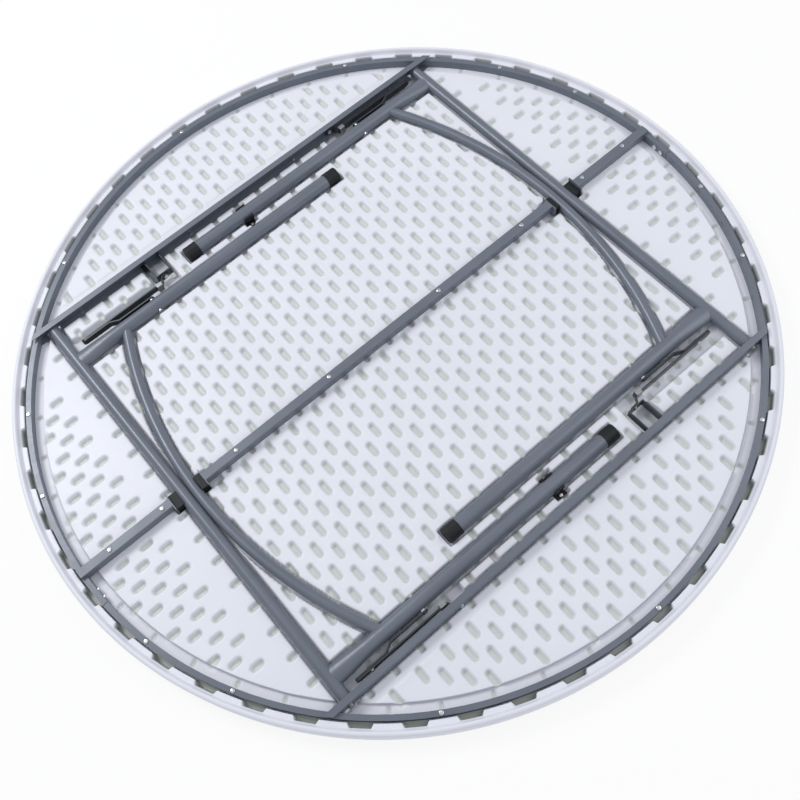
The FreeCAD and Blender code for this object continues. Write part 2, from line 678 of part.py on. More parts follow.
def lock_ring(leg_y):
    """Loop that slides along the rail link."""
    _, elbow, main, _ = link_faces(leg_y)
    x = -PIVOT_X + RAIL_PIN - RING_LOOP_HOME
    half_l = RING_LOOP_L / 2
    near = elbow - RING_LOOP_GAP
    far = main + LINK_T + RING_LOOP_GAP
    half_h = LINK_H / 2 + RING_LOOP_GAP
    wall = RING_LOOP_T
    outer = box(x - half_l, x + half_l, near - wall, far + wall, AXIS_H - half_h - wall, AXIS_H + half_h + wall)
    long_edges = [e for e in outer.Edges if abs(e.Length - RING_LOOP_L) < 0.01]
    outer = outer.makeFillet(wall, long_edges)
    return outer.cut(box(x - half_l - 1, x + half_l + 1, near, far, AXIS_H - half_h, AXIS_H + half_h))


def leg_rivet(leg_y):
    """Rivet through a leg; its collar's face bears the leg link when open or folded."""
    near, _, _, _ = link_faces(leg_y)
    x = -PIVOT_X + LEG_PIN
    inside = leg_y - LEG_R
    outside = leg_y + LEG_R
    shank = rod(PIN_R, V(x, inside - 0.5, AXIS_H), V(x, near - FACE_GAP, AXIS_H))
    back = rod(HEAD_R, V(x, inside - HEAD_T - 0.5, AXIS_H), V(x, inside - 0.5, AXIS_H))
    collar = rod(HEAD_R + 1, V(x, outside + 0.5, AXIS_H), V(x, near - FACE_GAP, AXIS_H))
    return joined([shank, back, collar])


def rail_rivet(tab, back_y):
    """Rivet that the rail link turns on, from the tab to back_y."""
    x = -PIVOT_X + RAIL_PIN
    front = rod(HEAD_R, V(x, tab - FACE_GAP - HEAD_T, AXIS_H), V(x, tab - FACE_GAP, AXIS_H))
    shank = rod(PIN_R, V(x, tab - FACE_GAP, AXIS_H), V(x, back_y, AXIS_H))
    back = rod(HEAD_R, V(x, back_y, AXIS_H), V(x, back_y + HEAD_T, AXIS_H))
    return joined([front, shank, back])


def brace_bracket():
    """Folded strap that carries the inner leg's brace off the rail."""
    _, _, _, tab = link_faces(INNER_LEG_Y)
    x = -PIVOT_X + RAIL_PIN
    half = BRACKET_W / 2
    plate_y = tab + LINK_T + 0.5
    end_y = RAIL_Y - SHEET
    low = LEDGE_H + SHEET
    high = AXIS_H + BRACKET_HALF_H
    parts = [box(x - half, x + half, plate_y, plate_y + BRACKET_T, low, high)]
    for left in (x - half, x + half - BRACKET_T):
        parts.append(box(left, left + BRACKET_T, plate_y, end_y, low, high))
    parts.append(box(x - half - BRACKET_LIP, x - half, plate_y + 4, end_y, low, low + BRACKET_T))
    bracket = joined(parts)
    hole = rod(PIN_R, V(x, plate_y - 1, AXIS_H), V(x, plate_y + BRACKET_T + 1, AXIS_H))
    return bracket.cut(hole)


def anchor_spacer():
    """Sleeve between the rail's web and the outer leg's rail link."""
    _, _, _, tab = link_faces(OUTER_LEG_Y)
    x = -PIVOT_X + RAIL_PIN
    start = V(x, tab + LINK_T + FACE_GAP, AXIS_H)
    end = V(x, RAIL_Y - SHEET, AXIS_H)
    return rod(HEAD_R + 1, start, end).cut(rod(PIN_R, start, end))


def leg_clip():
    """Upward open clip that holds the outer leg of set B."""
    grip = LEG_R + CLIP_GAP
    outer = grip + CLIP_T
    x0 = -CLIP_X - CLIP_W / 2
    x1 = -CLIP_X + CLIP_W / 2
    y = OUTER_LEG_Y
    base = box(x0, x1, y - CLIP_FOOT, y + CLIP_FOOT, LEG_FLOOR_H, LEG_FLOOR_H + CLIP_BASE_T)
    shell = joined([
        Part.makeCylinder(outer, CLIP_W, V(x0, y, AXIS_H), X_AXIS),
        box(x0, x1, y - outer, y + outer, AXIS_H, AXIS_H + CLIP_RISE),
    ]).common(box(x0, x1, y - outer, y + outer, LEG_FLOOR_H, AXIS_H + CLIP_RISE))
    bore = joined([
        Part.makeCylinder(grip, CLIP_W, V(x0, y, AXIS_H), X_AXIS),
        box(x0, x1, y - grip, y + grip, AXIS_H, AXIS_H + CLIP_RISE + 1),
    ])
    clip = joined([base, shell]).cut(bore)
    return clip.cut(screw_holes("clip", SCREW_R + SCREW_HOLE_GAP, 0, LEG_FLOOR_H + CLIP_BASE_T + 1))


# ---- nodes ----
def leg_set(turn, letter):
    """Nodes of one leg set; turn places set A's shapes."""
    return {
        f"pivot_tube_{letter}": turn(pivot_tube()),
        f"leg_tube_{letter}_inner": turn(leg_tube(INNER_LEG_Y)),
        f"leg_tube_{letter}_outer": turn(leg_tube(-OUTER_LEG_Y)),
        f"arc_brace_{letter}": turn(arc_brace()),
        f"foot_cap_{letter}_inner": turn(foot_cap(INNER_LEG_Y)),
        f"foot_cap_{letter}_outer": turn(foot_cap(-OUTER_LEG_Y)),
        f"tube_plugs_{letter}": turn(group([tube_plug(), flipped(tube_plug())])),
        f"leg_rivets_{letter}": turn(group([leg_rivet(INNER_LEG_Y), flipped(leg_rivet(OUTER_LEG_Y))])),
    }


def brace(turn, name, leg_y):
    """Nodes of one folding brace."""
    return {
        f"rail_link_{name}": turn(rail_link(leg_y)),
        f"leg_link_{name}": turn(leg_link(leg_y)),
        f"lock_ring_{name}": turn(lock_ring(leg_y)),
        f"elbow_rivet_{name}": turn(elbow_rivet(leg_y)),
    }


def rail_rivets():
    """The four rivets on the rails that the braces turn on."""
    _, _, _, inner_tab = link_faces(INNER_LEG_Y)
    _, _, _, outer_tab = link_faces(OUTER_LEG_Y)
    inner = rail_rivet(inner_tab, inner_tab + LINK_T + 0.5 + BRACKET_T)
    outer = flipped(rail_rivet(outer_tab, RAIL_Y))
    return group(both_ends(inner) + both_ends(outer))


def all_nodes():
    """Every node's name and shape."""
    nodes = {
        "table_top": table_top(),
        "ring_half_upper": ring_half_upper(),
        "ring_half_lower": ring_half_lower(),
        "splice_bolts": splice_bolts(),
        "splice_nuts": splice_nuts(),
        "side_rail_upper": side_rail(),
        "side_rail_lower": half_turn(side_rail()),
        "centre_rail": centre_rail(),
        "stub_rail_a": half_turn(stub_rail()),
        "stub_rail_b": stub_rail(),
        "saddle_a_inner": half_turn(inner_saddle()),
        "saddle_a_outer": half_turn(outer_saddle()),
        "saddle_b_inner": inner_saddle(),
        "saddle_b_outer": outer_saddle(),
        "pivot_pins": group(both_ends(pivot_pin()) + both_ends(flipped(pivot_pin()))),
        "brace_bracket_a": brace_bracket(),
        "brace_bracket_b": half_turn(brace_bracket()),
        "anchor_spacers": group(both_ends(flipped(anchor_spacer()))),
        "rail_rivets": rail_rivets(),
        "leg_clip_a": half_turn(leg_clip()),
        "leg_clip_b": leg_clip(),
        "ring_screws": screws("ring"),
        "side_rail_screws": screws("side"),
        "centre_rail_screws": screws("centre"),
        "stub_rail_screws": screws("stub"),
        "clip_screws": screws("clip"),
    }
    for letter, turn in (("a", lambda shape: shape), ("b", half_turn)):
        nodes.update(leg_set(turn, letter))
        nodes.update(brace(turn, f"{letter}_inner", INNER_LEG_Y))
        nodes.update(brace(lambda shape, place=turn: place(flipped(shape)), f"{letter}_outer", OUTER_LEG_Y))
    return nodes


os.makedirs("parts", exist_ok=True)
for node, shape in all_nodes().items():
    shape.exportStep(f"parts/{node}.step")
    print(f"{node}: {len(shape.Solids)} solids, {shape.Volume / 1000:.1f} cm3, valid {shape.isValid()}")
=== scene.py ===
"""Looks of the round folding table: moulded top, steel frame, leg sets and braces."""

import logging
import math
from dataclasses import dataclass, field
from enum import Enum
from typing import Any, Callable, Iterable, Sequence

import bpy
import numpy as np
from mathutils import Matrix, Vector
from mathutils.geometry import delaunay_2d_cdt

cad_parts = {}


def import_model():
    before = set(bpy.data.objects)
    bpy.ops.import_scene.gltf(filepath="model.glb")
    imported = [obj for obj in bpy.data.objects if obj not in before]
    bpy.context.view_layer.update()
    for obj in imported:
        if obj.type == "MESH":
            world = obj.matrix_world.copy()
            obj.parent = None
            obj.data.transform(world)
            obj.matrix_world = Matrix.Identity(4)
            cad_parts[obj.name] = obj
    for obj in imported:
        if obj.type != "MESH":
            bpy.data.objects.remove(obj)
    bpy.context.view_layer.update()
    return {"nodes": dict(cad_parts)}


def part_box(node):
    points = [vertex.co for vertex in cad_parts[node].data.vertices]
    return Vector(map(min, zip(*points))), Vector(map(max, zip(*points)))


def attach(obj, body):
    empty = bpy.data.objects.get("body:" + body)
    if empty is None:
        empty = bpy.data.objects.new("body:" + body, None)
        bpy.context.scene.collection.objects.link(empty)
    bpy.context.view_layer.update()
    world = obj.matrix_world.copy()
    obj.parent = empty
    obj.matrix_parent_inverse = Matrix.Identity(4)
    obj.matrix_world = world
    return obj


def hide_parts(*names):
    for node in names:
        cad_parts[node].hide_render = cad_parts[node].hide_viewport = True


TURN = 2 * math.pi
ROOT = "tabletop"
HOLLOW = "hollow"
POCKET = "pocket"
LOG = logging.getLogger("folding_table")

Point = tuple[float, float]
Number = float | int


# ---------------------------------------------------------------- shader kit
class Signal:
    """A shader socket that takes part in Python expressions on numbers."""

    def __init__(self, tree: bpy.types.NodeTree, socket: bpy.types.NodeSocket) -> None:
        """Wraps one output socket of a node tree."""
        self.tree = tree
        self.socket = socket

    def _math(self, operation: str, *values: "Signal | Number", clamp: bool = False) -> "Signal":
        """Adds one Math node.

        Args:
            operation: the Math node's operation.
            values: its inputs, numbers or signals.
            clamp: whether the result is held between 0 and 1.

        Returns:
            The node's result.
        """
        node = self.tree.nodes.new("ShaderNodeMath")
        node.operation = operation
        node.use_clamp = clamp
        for place, value in enumerate(values):
            if isinstance(value, Signal):
                self.tree.links.new(value.socket, node.inputs[place])
            else:
                node.inputs[place].default_value = value
        return Signal(self.tree, node.outputs[0])

    def __add__(self, other: "Signal | Number") -> "Signal":
        """Sum."""
        return self._math("ADD", self, other)

    __radd__ = __add__

    def __mul__(self, other: "Signal | Number") -> "Signal":
        """Product."""
        return self._math("MULTIPLY", self, other)

    __rmul__ = __mul__

    def __sub__(self, other: "Signal | Number") -> "Signal":
        """Difference."""
        return self._math("SUBTRACT", self, other)

    def __rsub__(self, other: "Signal | Number") -> "Signal":
        """Difference from a number."""
        return self._math("SUBTRACT", other, self)

    def held(self) -> "Signal":
        """The signal held between 0 and 1."""
        return self._math("ADD", self, 0.0, clamp=True)

    def rising(self, low: float, high: float) -> "Signal":
        """Runs from 0 at low to 1 at high, smoothly."""
        node = self.tree.nodes.new("ShaderNodeMapRange")
        node.interpolation_type = "SMOOTHSTEP"
        self.tree.links.new(self.socket, node.inputs["Value"])
        node.inputs["From Min"].default_value = low
        node.inputs["From Max"].default_value = high
        return Signal(self.tree, node.outputs[0])


class Recipe:
    """One material under construction."""

    def __init__(self, name: str) -> None:
        """Starts a material that holds only its shader."""
        self.material = bpy.data.materials.new(name)
        self.material.use_nodes = True
        self.tree = self.material.node_tree
        self.shader = self.tree.nodes["Principled BSDF"]

    def node(self, kind: str, settings: dict[str, Any] | None = None,
             inputs: dict[str, Any] | None = None) -> bpy.types.Node:
        """Adds one node.

        Args:
            kind: the node's type.
            settings: attributes that are set first.
            inputs: values, signals or sockets by input name.

        Returns:
            The new node.
        """
        made = self.tree.nodes.new(kind)
        for key, value in (settings or {}).items():
            setattr(made, key, value)
        for key, value in (inputs or {}).items():
            self.feed(made.inputs[key], value)
        return made

    def feed(self, socket: bpy.types.NodeSocket, value: Any) -> None:
        """Links a signal or socket to an input, or sets its value."""
        if isinstance(value, Signal):
            self.tree.links.new(value.socket, socket)
        elif isinstance(value, bpy.types.NodeSocket):
            self.tree.links.new(value, socket)
        else:
            socket.default_value = value

    def signal(self, socket: bpy.types.NodeSocket) -> Signal:
        """Wraps an output socket."""
        return Signal(self.tree, socket)

    def place(self) -> bpy.types.NodeSocket:
        """Object coordinates, in metres."""
        return self.node("ShaderNodeTexCoord").outputs["Object"]

    def marked(self, attribute: str) -> Signal:
        """A number that the mesh carries at its corners."""
        made = self.node("ShaderNodeAttribute", {"attribute_name": attribute})
        return self.signal(made.outputs["Fac"])

    def noise(self, scale: float, detail: float = 2.0, rough: float = 0.5,
              stretch: tuple[float, float, float] = (1, 1, 1)) -> Signal:
        """Noise over the object.

        Args:
            scale: features per metre.
            detail: octaves.
            rough: weight of the finer octaves.
            stretch: scale along each axis.

        Returns:
            The noise, about 0 to 1.
        """
        mapped = self.node("ShaderNodeMapping", inputs={"Vector": self.place(), "Scale": stretch})
        noise = self.node("ShaderNodeTexNoise", inputs={
            "Vector": mapped.outputs[0], "Scale": scale, "Detail": detail, "Roughness": rough})
        return self.signal(noise.outputs["Fac"])

    def mix(self, factor: Signal | Number, low: Sequence[float] | bpy.types.NodeSocket,
            high: Sequence[float] | bpy.types.NodeSocket) -> bpy.types.NodeSocket:
        """Mixes two colours."""
        made = self.node("ShaderNodeMix", {"data_type": "RGBA"})
        self.feed(made.inputs["Factor"], factor)
        for name, value in (("A", low), ("B", high)):
            socket = next(s for s in made.inputs if s.name == name and s.type == "RGBA")
            self.feed(socket, value if isinstance(value, bpy.types.NodeSocket) else (*value, 1.0))
        return next(s for s in made.outputs if s.type == "RGBA")

    def bump(self, height: Signal, depth: float, strength: float = 1.0) -> None:
        """Feeds the shader's normal from a height signal."""
        made = self.node("ShaderNodeBump", inputs={"Strength": strength, "Distance": depth, "Height": height})
        self.tree.links.new(made.outputs[0], self.shader.inputs["Normal"])

    def set(self, **sockets: Any) -> None:
        """Sets or links the shader's inputs; an underscore in a name is a space."""
        for key, value in sockets.items():
            self.feed(self.shader.inputs[key.replace("_", " ")], value)


@dataclass(frozen=True)
class MouldedWhite:
    """White blow-moulded polyethylene, with painted shade greying the dimples' floors where the two skins meet and the
    rim's pockets.
    """

    skin: tuple[float, float, float] = (0.78, 0.795, 0.86)
    dimple_shade: tuple[float, float, float] = (0.62, 0.65, 0.63)
    # Painted shade: the colour of the rim's shadowed pockets.
    pocket: tuple[float, float, float] = (0.50, 0.53, 0.49)

    def make(self) -> bpy.types.Material:
        """Builds the material."""
        recipe = Recipe("moulded_white")
        cloud = recipe.noise(3.5, 3.0, 0.55)
        grain = recipe.noise(900.0, 3.0, 0.6)
        tint = recipe.mix(cloud.rising(0.35, 0.75), self.skin, tuple(0.965 * c for c in self.skin))
        # Painted shade: the hollow mark greys the dimples' floors, where shade falls.
        tint = recipe.mix(recipe.marked(HOLLOW), tint, self.dimple_shade)
        # Painted shade: the pocket mark darkens the rim's pockets, where shade falls.
        tint = recipe.mix(recipe.marked(POCKET), tint, self.pocket)
        recipe.set(Base_Color=tint, Roughness=recipe.noise(40.0, 2.0) * 0.10 + 0.36)
        recipe.set(IOR=1.50, Specular_IOR_Level=0.45)
        recipe.bump(grain * 0.7 + recipe.noise(55.0, 1.0) * 1.3, 0.00022, 0.55)
        return recipe.material


@dataclass(frozen=True)
class CoatedSteel:
    """Powder coat over drawn steel tube and sheet."""

    name: str = "coated_steel"
    coat: tuple[float, float, float] = (0.135, 0.153, 0.188)
    roughness: float = 0.36
    peel: float = 1.0

    def make(self) -> bpy.types.Material:
        """Builds the material."""
        recipe = Recipe(self.name)
        peel = recipe.noise(420.0, 2.0, 0.5)
        broad = recipe.noise(7.0, 3.0, 0.6)
        fleck = recipe.noise(1500.0, 1.0, 0.5)
        lighter = tuple(c * 1.16 for c in self.coat)
        tint = recipe.mix(broad.rising(0.3, 0.7), self.coat, lighter)
        tint = recipe.mix(fleck.rising(0.62, 0.72) * 0.35, tint, tuple(c * 1.7 for c in self.coat))
        recipe.set(Base_Color=tint, Roughness=recipe.noise(60.0, 2.0) * 0.14 + (self.roughness - 0.07))
        recipe.set(Metallic=0.15, IOR=1.5, Coat_Weight=0.12, Coat_Roughness=0.25)
        recipe.bump(peel + fleck * 0.2, 0.00012 * self.peel, 0.5)
        return recipe.material


@dataclass(frozen=True)
class BlackMoulding:
    """Black injection-moulded plastic with a faint spark-eroded grain."""

    tint: tuple[float, float, float] = (0.005, 0.007, 0.009)

    def make(self) -> bpy.types.Material:
        """Builds the material."""
        recipe = Recipe("black_moulding")
        scuff = recipe.noise(130.0, 4.0, 0.65)
        tint = recipe.mix(scuff.rising(0.55, 0.8) * 0.5, self.tint, (0.022, 0.026, 0.030))
        recipe.set(Base_Color=tint, Roughness=scuff * 0.2 + 0.42, IOR=1.45)
        recipe.bump(recipe.noise(1400.0, 2.0, 0.6), 0.00012, 0.5)
        return recipe.material


@dataclass(frozen=True)
class BareMetal:
    """Zinc-plated or dark-phosphated metal with fine rolling marks."""

    name: str
    tint: tuple[float, float, float]
    roughness: float
    metallic: float
    spots: float = 0.3

    def make(self) -> bpy.types.Material:
        """Builds the material."""
        recipe = Recipe(self.name)
        streak = recipe.noise(600.0, 3.0, 0.6, (0.06, 1.0, 1.0))
        patch = recipe.noise(90.0, 3.0, 0.6)
        dark = tuple(c * 0.62 for c in self.tint)
        tint = recipe.mix(patch.rising(0.45, 0.75) * self.spots, self.tint, dark)
        recipe.set(Base_Color=tint, Metallic=self.metallic, IOR=1.5,
                   Roughness=streak * 0.16 + (self.roughness - 0.08))
        recipe.bump(streak, 0.00006, 0.4)
        return recipe.material


class Finish(Enum):
    """The finishes that the table's pieces wear."""

    PANEL = MouldedWhite()
    FRAME = CoatedSteel()
    BLACK = BlackMoulding()
    DARK = BareMetal("dark_strip", (0.075, 0.082, 0.092), 0.34, 0.75)
    BRIGHT = BareMetal("bright_zinc", (0.72, 0.73, 0.74), 0.27, 1.0, 0.2)
    GREY = BareMetal("grey_zinc", (0.38, 0.39, 0.40), 0.38, 1.0)


class Wardrobe:
    """Makes each finish once and puts it on pieces."""

    def __init__(self) -> None:
        """Starts with nothing made."""
        self.made: dict[Finish, bpy.types.Material] = {}

    def get(self, finish: Finish) -> bpy.types.Material:
        """The material of a finish."""
        if finish not in self.made:
            self.made[finish] = finish.value.make()
        return self.made[finish]

    def dress(self, piece: bpy.types.Object, finish: Finish) -> None:
        """Puts a finish in every slot of a piece."""
        if not piece.material_slots:
            piece.data.materials.append(self.get(finish))
        for place in piece.material_slots:
            place.material = self.get(finish)


# ---------------------------------------------------------------- mesh kit
def new_piece(name: str, vertices: Sequence[Sequence[float]], faces: Sequence[Sequence[int]],
              smooth: bool = True) -> bpy.types.Object:
    """Makes a mesh object in the scene.

    Args:
        name: the piece's name.
        vertices: its corners, in metres.
        faces: its faces, by corner number.
        smooth: whether the faces are shaded smoothly.

    Returns:
        The new object.
    """
    mesh = bpy.data.meshes.new(name)
    mesh.from_pydata(vertices, [], faces)
    mesh.validate()
    mesh.polygons.foreach_set("use_smooth", [smooth] * len(mesh.polygons))
    piece = bpy.data.objects.new(name, mesh)
    bpy.context.scene.collection.objects.link(piece)
    return piece


# ---------------------------------------------------------------- moulded panel
def soft_step(distance: np.ndarray, low: float, high: float) -> np.ndarray:
    """Rises smoothly from 0 at low to 1 at high."""
    part = np.clip((distance - low) / (high - low), 0.0, 1.0)
    return part * part * (3 - 2 * part)


@dataclass(frozen=True)
class Lattice:
    """A chequered field of obround dimples in the moulded underside.

    Numbers count from the field's datum; a dimple stands where they add up to an even number.
    """

    pitch_u: float
    pitch_v: float
    start_v: float
    low_u: int
    high_u: int
    low_v: int
    high_v: int
    length: float
    width: float
    length_along_v: bool
    odd: int = 0
    reach: float = 0.737

    def depth(self, u: np.ndarray, v: np.ndarray) -> np.ndarray:
        """How far each place lies inside the nearest dimple.

        Args:
            u: places along the chequer's rows, in metres.
            v: places across them.

        Returns:
            The distances, below 0 outside.
        """
        best = np.full(u.shape, -1.0)
        first_u = np.floor(u / self.pitch_u)
        first_v = np.floor((v - self.start_v) / self.pitch_v)
        run = (self.length - self.width) / 2
        for step_u in (0, 1):
            for step_v in (0, 1):
                i, j = first_u + step_u, first_v + step_v
                mid_u, mid_v = i * self.pitch_u, self.start_v + j * self.pitch_v
                there = ((i + j + self.odd) % 2 == 0) & (i >= self.low_u) & (i <= self.high_u)
                there &= (j >= self.low_v) & (j <= self.high_v)
                there &= np.hypot(mid_u, mid_v) < self.reach
                du, dv = np.abs(u - mid_u), np.abs(v - mid_v)
                if self.length_along_v:
                    du, dv = dv, du
                inside = self.width / 2 - np.hypot(np.maximum(du - run, 0.0), dv)
                best = np.maximum(best, np.where(there, inside, -1.0))
        return best


@dataclass
class PanelTop:
    """The blow-moulded round top with its dimpled underside."""

    radius: float = 0.800
    rim_top: float = 0.045
    rim_inner: float = 0.774
    rim_wall: float = 0.0022
    ledge_inner: float = 0.741
    field_top: float = 0.024
    ledge_top: float = 0.016
    leg_floor: float = 0.007
    pocket_floor: float = 0.010
    arc_floor: float = 0.012
    edge_round: float = 0.006
    dimple_depth: float = 0.0085
    trough_dimple_depth: float = 0.003
    dimple_slope: float = 0.0052
    wall_out: float = 0.0012
    wall_in: float = 0.0016
    shoulder_y: float = 0.558
    shoulder_drop: float = 0.0014
    side_gap: float = 0.002
    tube_gap: float = 0.004
    step: float = 0.0025
    seam: float = 0.7345
    scallops: int = 50
    scallop_inner: float = 0.772
    scallop_outer: float = 0.785
    shelf_top: float = 0.035
    crown_low: float = 0.785
    crown_high: float = 0.7925
    ridge_low: float = 0.588
    ridge_high: float = 0.604
    ridge_height: float = 0.0016
    scallop_wide: float = 0.026
    scallop_narrow: float = 0.020
    ledge_dimple_r: float = 0.7535
    ledge_dimple_half: float = 0.0065
    ledge_dimple_run: float = 0.004
    lattices: dict[str, Lattice] = field(default_factory=lambda: {
        "centre": Lattice(0.03037, 0.02933, 0.0, -16, 16, -18, 18, 0.0395, 0.0170, True),
        "long_side": Lattice(0.03037, 0.02933, 0.6028, -20, 20, -1, 4, 0.0395, 0.0170, True),
        "end": Lattice(0.03015, 0.02848, 0.6405, -17, 17, -1, 3, 0.0335, 0.0175, True, 1),
        "pivot_side": Lattice(0.03015, 0.02848, 0.5515, -16, 16, 0, 0, 0.027, 0.0165, True, 1)})

    def measure(self) -> None:
        """Takes the frame members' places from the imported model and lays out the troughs."""
        rail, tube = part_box("side_rail_upper"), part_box("pivot_tube_b")
        self.rail_in, self.rail_out = rail[0][1], rail[1][1]
        pivot_x, tube_r = (tube[0][0] + tube[1][0]) / 2, (tube[1][0] - tube[0][0]) / 2
        inner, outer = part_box("foot_cap_a_inner"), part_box("foot_cap_a_outer")
        leg_r = (inner[1][1] - inner[0][1]) / 2
        inner_y, outer_y = (inner[0][1] + inner[1][1]) / 2, -(outer[0][1] + outer[1][1]) / 2
        leg_x = inner[1][0] + self.tube_gap
        half_leg = leg_r + self.tube_gap - 0.0015
        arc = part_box("arc_brace_a")
        bracket_a, bracket_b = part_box("brace_bracket_a"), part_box("brace_bracket_b")
        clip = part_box("leg_clip_b")
        saddle_in, saddle_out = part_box("saddle_a_inner"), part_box("saddle_a_outer")
        gap, side = self.tube_gap, self.side_gap
        self.boxes: list[tuple[float, float, float, float, float]] = [
            (-self.radius, self.radius, self.rail_in - side, self.rail_out + side, self.ledge_top),
            (-pivot_x, leg_x, inner_y - half_leg, inner_y + half_leg, self.leg_floor),
            (-leg_x, pivot_x, outer_y - half_leg, outer_y + half_leg, self.leg_floor),
            (-pivot_x, -0.235, inner_y, inner_y + 0.060, self.pocket_floor),
            (0.235, pivot_x, outer_y, self.rail_out - side, self.pocket_floor),
            (-0.292, -0.235, inner_y, self.rail_out - side, self.pocket_floor),
            (-pivot_x, -pivot_x + 0.110, inner_y - 0.025, inner_y + 0.025, self.leg_floor),
            (pivot_x - 0.110, pivot_x, outer_y - 0.025, outer_y + 0.025, self.leg_floor),
            (pivot_x - tube_r - gap, pivot_x + tube_r + gap, 0, self.rail_out + 0.006, self.pocket_floor),
            (-pivot_x - tube_r - gap, -pivot_x + tube_r + gap, 0, self.rail_out + 0.006, self.pocket_floor),
            (clip[0][0] - gap, clip[1][0] + gap, clip[0][1] - gap, clip[1][1] + gap, self.leg_floor),
            (-saddle_out[0][0] * 1.0 - 0.108, -saddle_out[0][0] + gap, -0.022, 0.022, self.pocket_floor)]
        LOG.info("saddles %s %s brackets %s %s arc %s", saddle_in, saddle_out, bracket_a, bracket_b, arc)
        self.arc_radius = 1.000
        self.arc_half = 0.015
        self.arc_centre = (self.arc_radius - (pivot_x - tube_r - 0.011), (inner_y - outer_y) / 2)
        self.arc_reach = (pivot_x, outer_y, inner_y)

    def relief(self, x: np.ndarray, y: np.ndarray) -> tuple[np.ndarray, np.ndarray, np.ndarray]:
        """Surface heights with the marks for hollows and rim pockets.

        Args:
            x: places along X, in metres.
            y: places along Y.

        Returns:
            Heights, hollow marks and pocket marks.
        """
        r = np.hypot(x, y)
        ground = self.field_top - self.shoulder_drop * soft_step(self.shoulder_y - np.abs(y), -0.002, 0.002)
        ground = np.where(np.abs(y) < self.rail_in, self.field_top, ground)
        ridge = soft_step(np.abs(x), self.ridge_low - 0.006, self.ridge_low)
        ridge *= 1 - soft_step(np.abs(x), self.ridge_high, self.ridge_high + 0.006)
        ground = ground + self.ridge_height * ridge * (np.abs(y) < self.rail_in)

        def press(level: np.ndarray, inside: np.ndarray, floor: float) -> np.ndarray:
            part = soft_step(inside, -self.wall_out, self.wall_in)
            return np.minimum(level, level + (floor - level) * part)

        for turn in (1, -1):
            u, v = turn * x, turn * y
            for x0, x1, y0, y1, floor in self.boxes:
                inside = np.minimum(np.minimum(u - x0, x1 - u), np.minimum(v - y0, y1 - v))
                ground = press(ground, inside, floor)
            centre_x, centre_y = self.arc_centre
            inside = self.arc_half - np.abs(np.hypot(u - centre_x, v - centre_y) - self.arc_radius)
            far, low, high = self.arc_reach
            inside = np.where((u < 0) & (u > -far) & (v > -low) & (v < high), inside, -1.0)
            ground = press(ground, inside, self.arc_floor)
        ledge = soft_step(r - self.ledge_inner, -self.wall_out, self.wall_in)
        ground = np.minimum(ground, ground + (self.ledge_top - ground) * ledge)
        hollow = self.dimples(x, y)
        floor = np.minimum(self.field_top - self.dimple_depth * hollow, ground - self.trough_dimple_depth * hollow)
        floor, pocket = self.rim(x, y, r, floor)
        return floor, hollow, pocket

    def dimples(self, x: np.ndarray, y: np.ndarray) -> np.ndarray:
        """How deep each place lies in a dimple, 0 outside and 1 on its floor."""
        u, v = np.abs(x), np.abs(y)
        depth = np.where(v < 0.545, self.lattices["centre"].depth(x, y), -1.0)
        depth = np.where(v > 0.545, np.maximum(depth, self.lattices["long_side"].depth(x, v)), depth)
        ends = np.maximum(self.lattices["end"].depth(y, u), self.lattices["pivot_side"].depth(y, u))
        depth = np.where((u > 0.52) & (v < self.rail_in), ends, depth)
        angle = np.arctan2(y, x)
        pitch = TURN / self.scallops
        radius = np.hypot(x, y)
        aside = (angle - pitch * np.round(angle / pitch)) * radius
        along = np.maximum(np.abs(radius - self.ledge_dimple_r) - self.ledge_dimple_run, 0.0)
        ledge = self.ledge_dimple_half - np.hypot(along, aside)
        depth = np.where(radius > self.ledge_inner - 0.004, np.maximum(ledge, depth), depth)
        return soft_step(depth, 0.0, self.dimple_slope)

    def rim(self, x: np.ndarray, y: np.ndarray, r: np.ndarray,
            floor: np.ndarray) -> tuple[np.ndarray, np.ndarray]:
        """Raises the rim and sinks its pockets.

        Args:
            x: places along X, in metres.
            y: places along Y.
            r: distances from the middle.
            floor: heights inside the rim.

        Returns:
            Heights and pocket marks.
        """
        rise = soft_step(r, self.rim_inner, self.rim_inner + self.rim_wall)
        pitch = TURN / self.scallops
        angle = np.arctan2(y, x) - pitch / 2
        aside = np.abs(angle - pitch * np.round(angle / pitch)) * r
        share = np.clip((r - self.scallop_inner) / (self.scallop_outer - self.scallop_inner), 0.0, 1.0)
        half = self.scallop_wide + (self.scallop_narrow - self.scallop_wide) * share
        inside = np.minimum(half - aside, self.scallop_outer - r)
        pocket = soft_step(inside, 0.0, 0.003) * (r > self.scallop_inner)
        shelf = self.shelf_top + (self.rim_top - self.shelf_top) * soft_step(r, self.crown_low, self.crown_high)
        top = floor + (shelf - floor) * rise
        sunk = self.shelf_top + (self.ledge_top - self.shelf_top) * pocket
        return np.where(r < self.scallop_outer, np.minimum(top, sunk), top), pocket

    def spokes(self, radius: float) -> list[float]:
        """Angles of the rim's columns at a radius, packed where the pockets' sides run."""
        share = min(max((radius - self.scallop_inner) / (self.scallop_outer - self.scallop_inner), 0.0), 1.0)
        half = self.scallop_wide + (self.scallop_narrow - self.scallop_wide) * share
        pitch = TURN / self.scallops
        end = pitch * 0.78 / 2
        offsets = [0.0, 0.3 * half, 0.6 * half, half - 0.005, half - 0.003, half - 0.0015, half,
                   half + 0.002, (half + end - 0.009) / 2, end - 0.009, end - 0.0062, end - 0.004, end - 0.002]
        ring = sorted({-o for o in offsets} | set(offsets) | {end})
        return [pitch * (k + 0.5) + o / 0.78 for k in range(self.scallops) for o in ring]

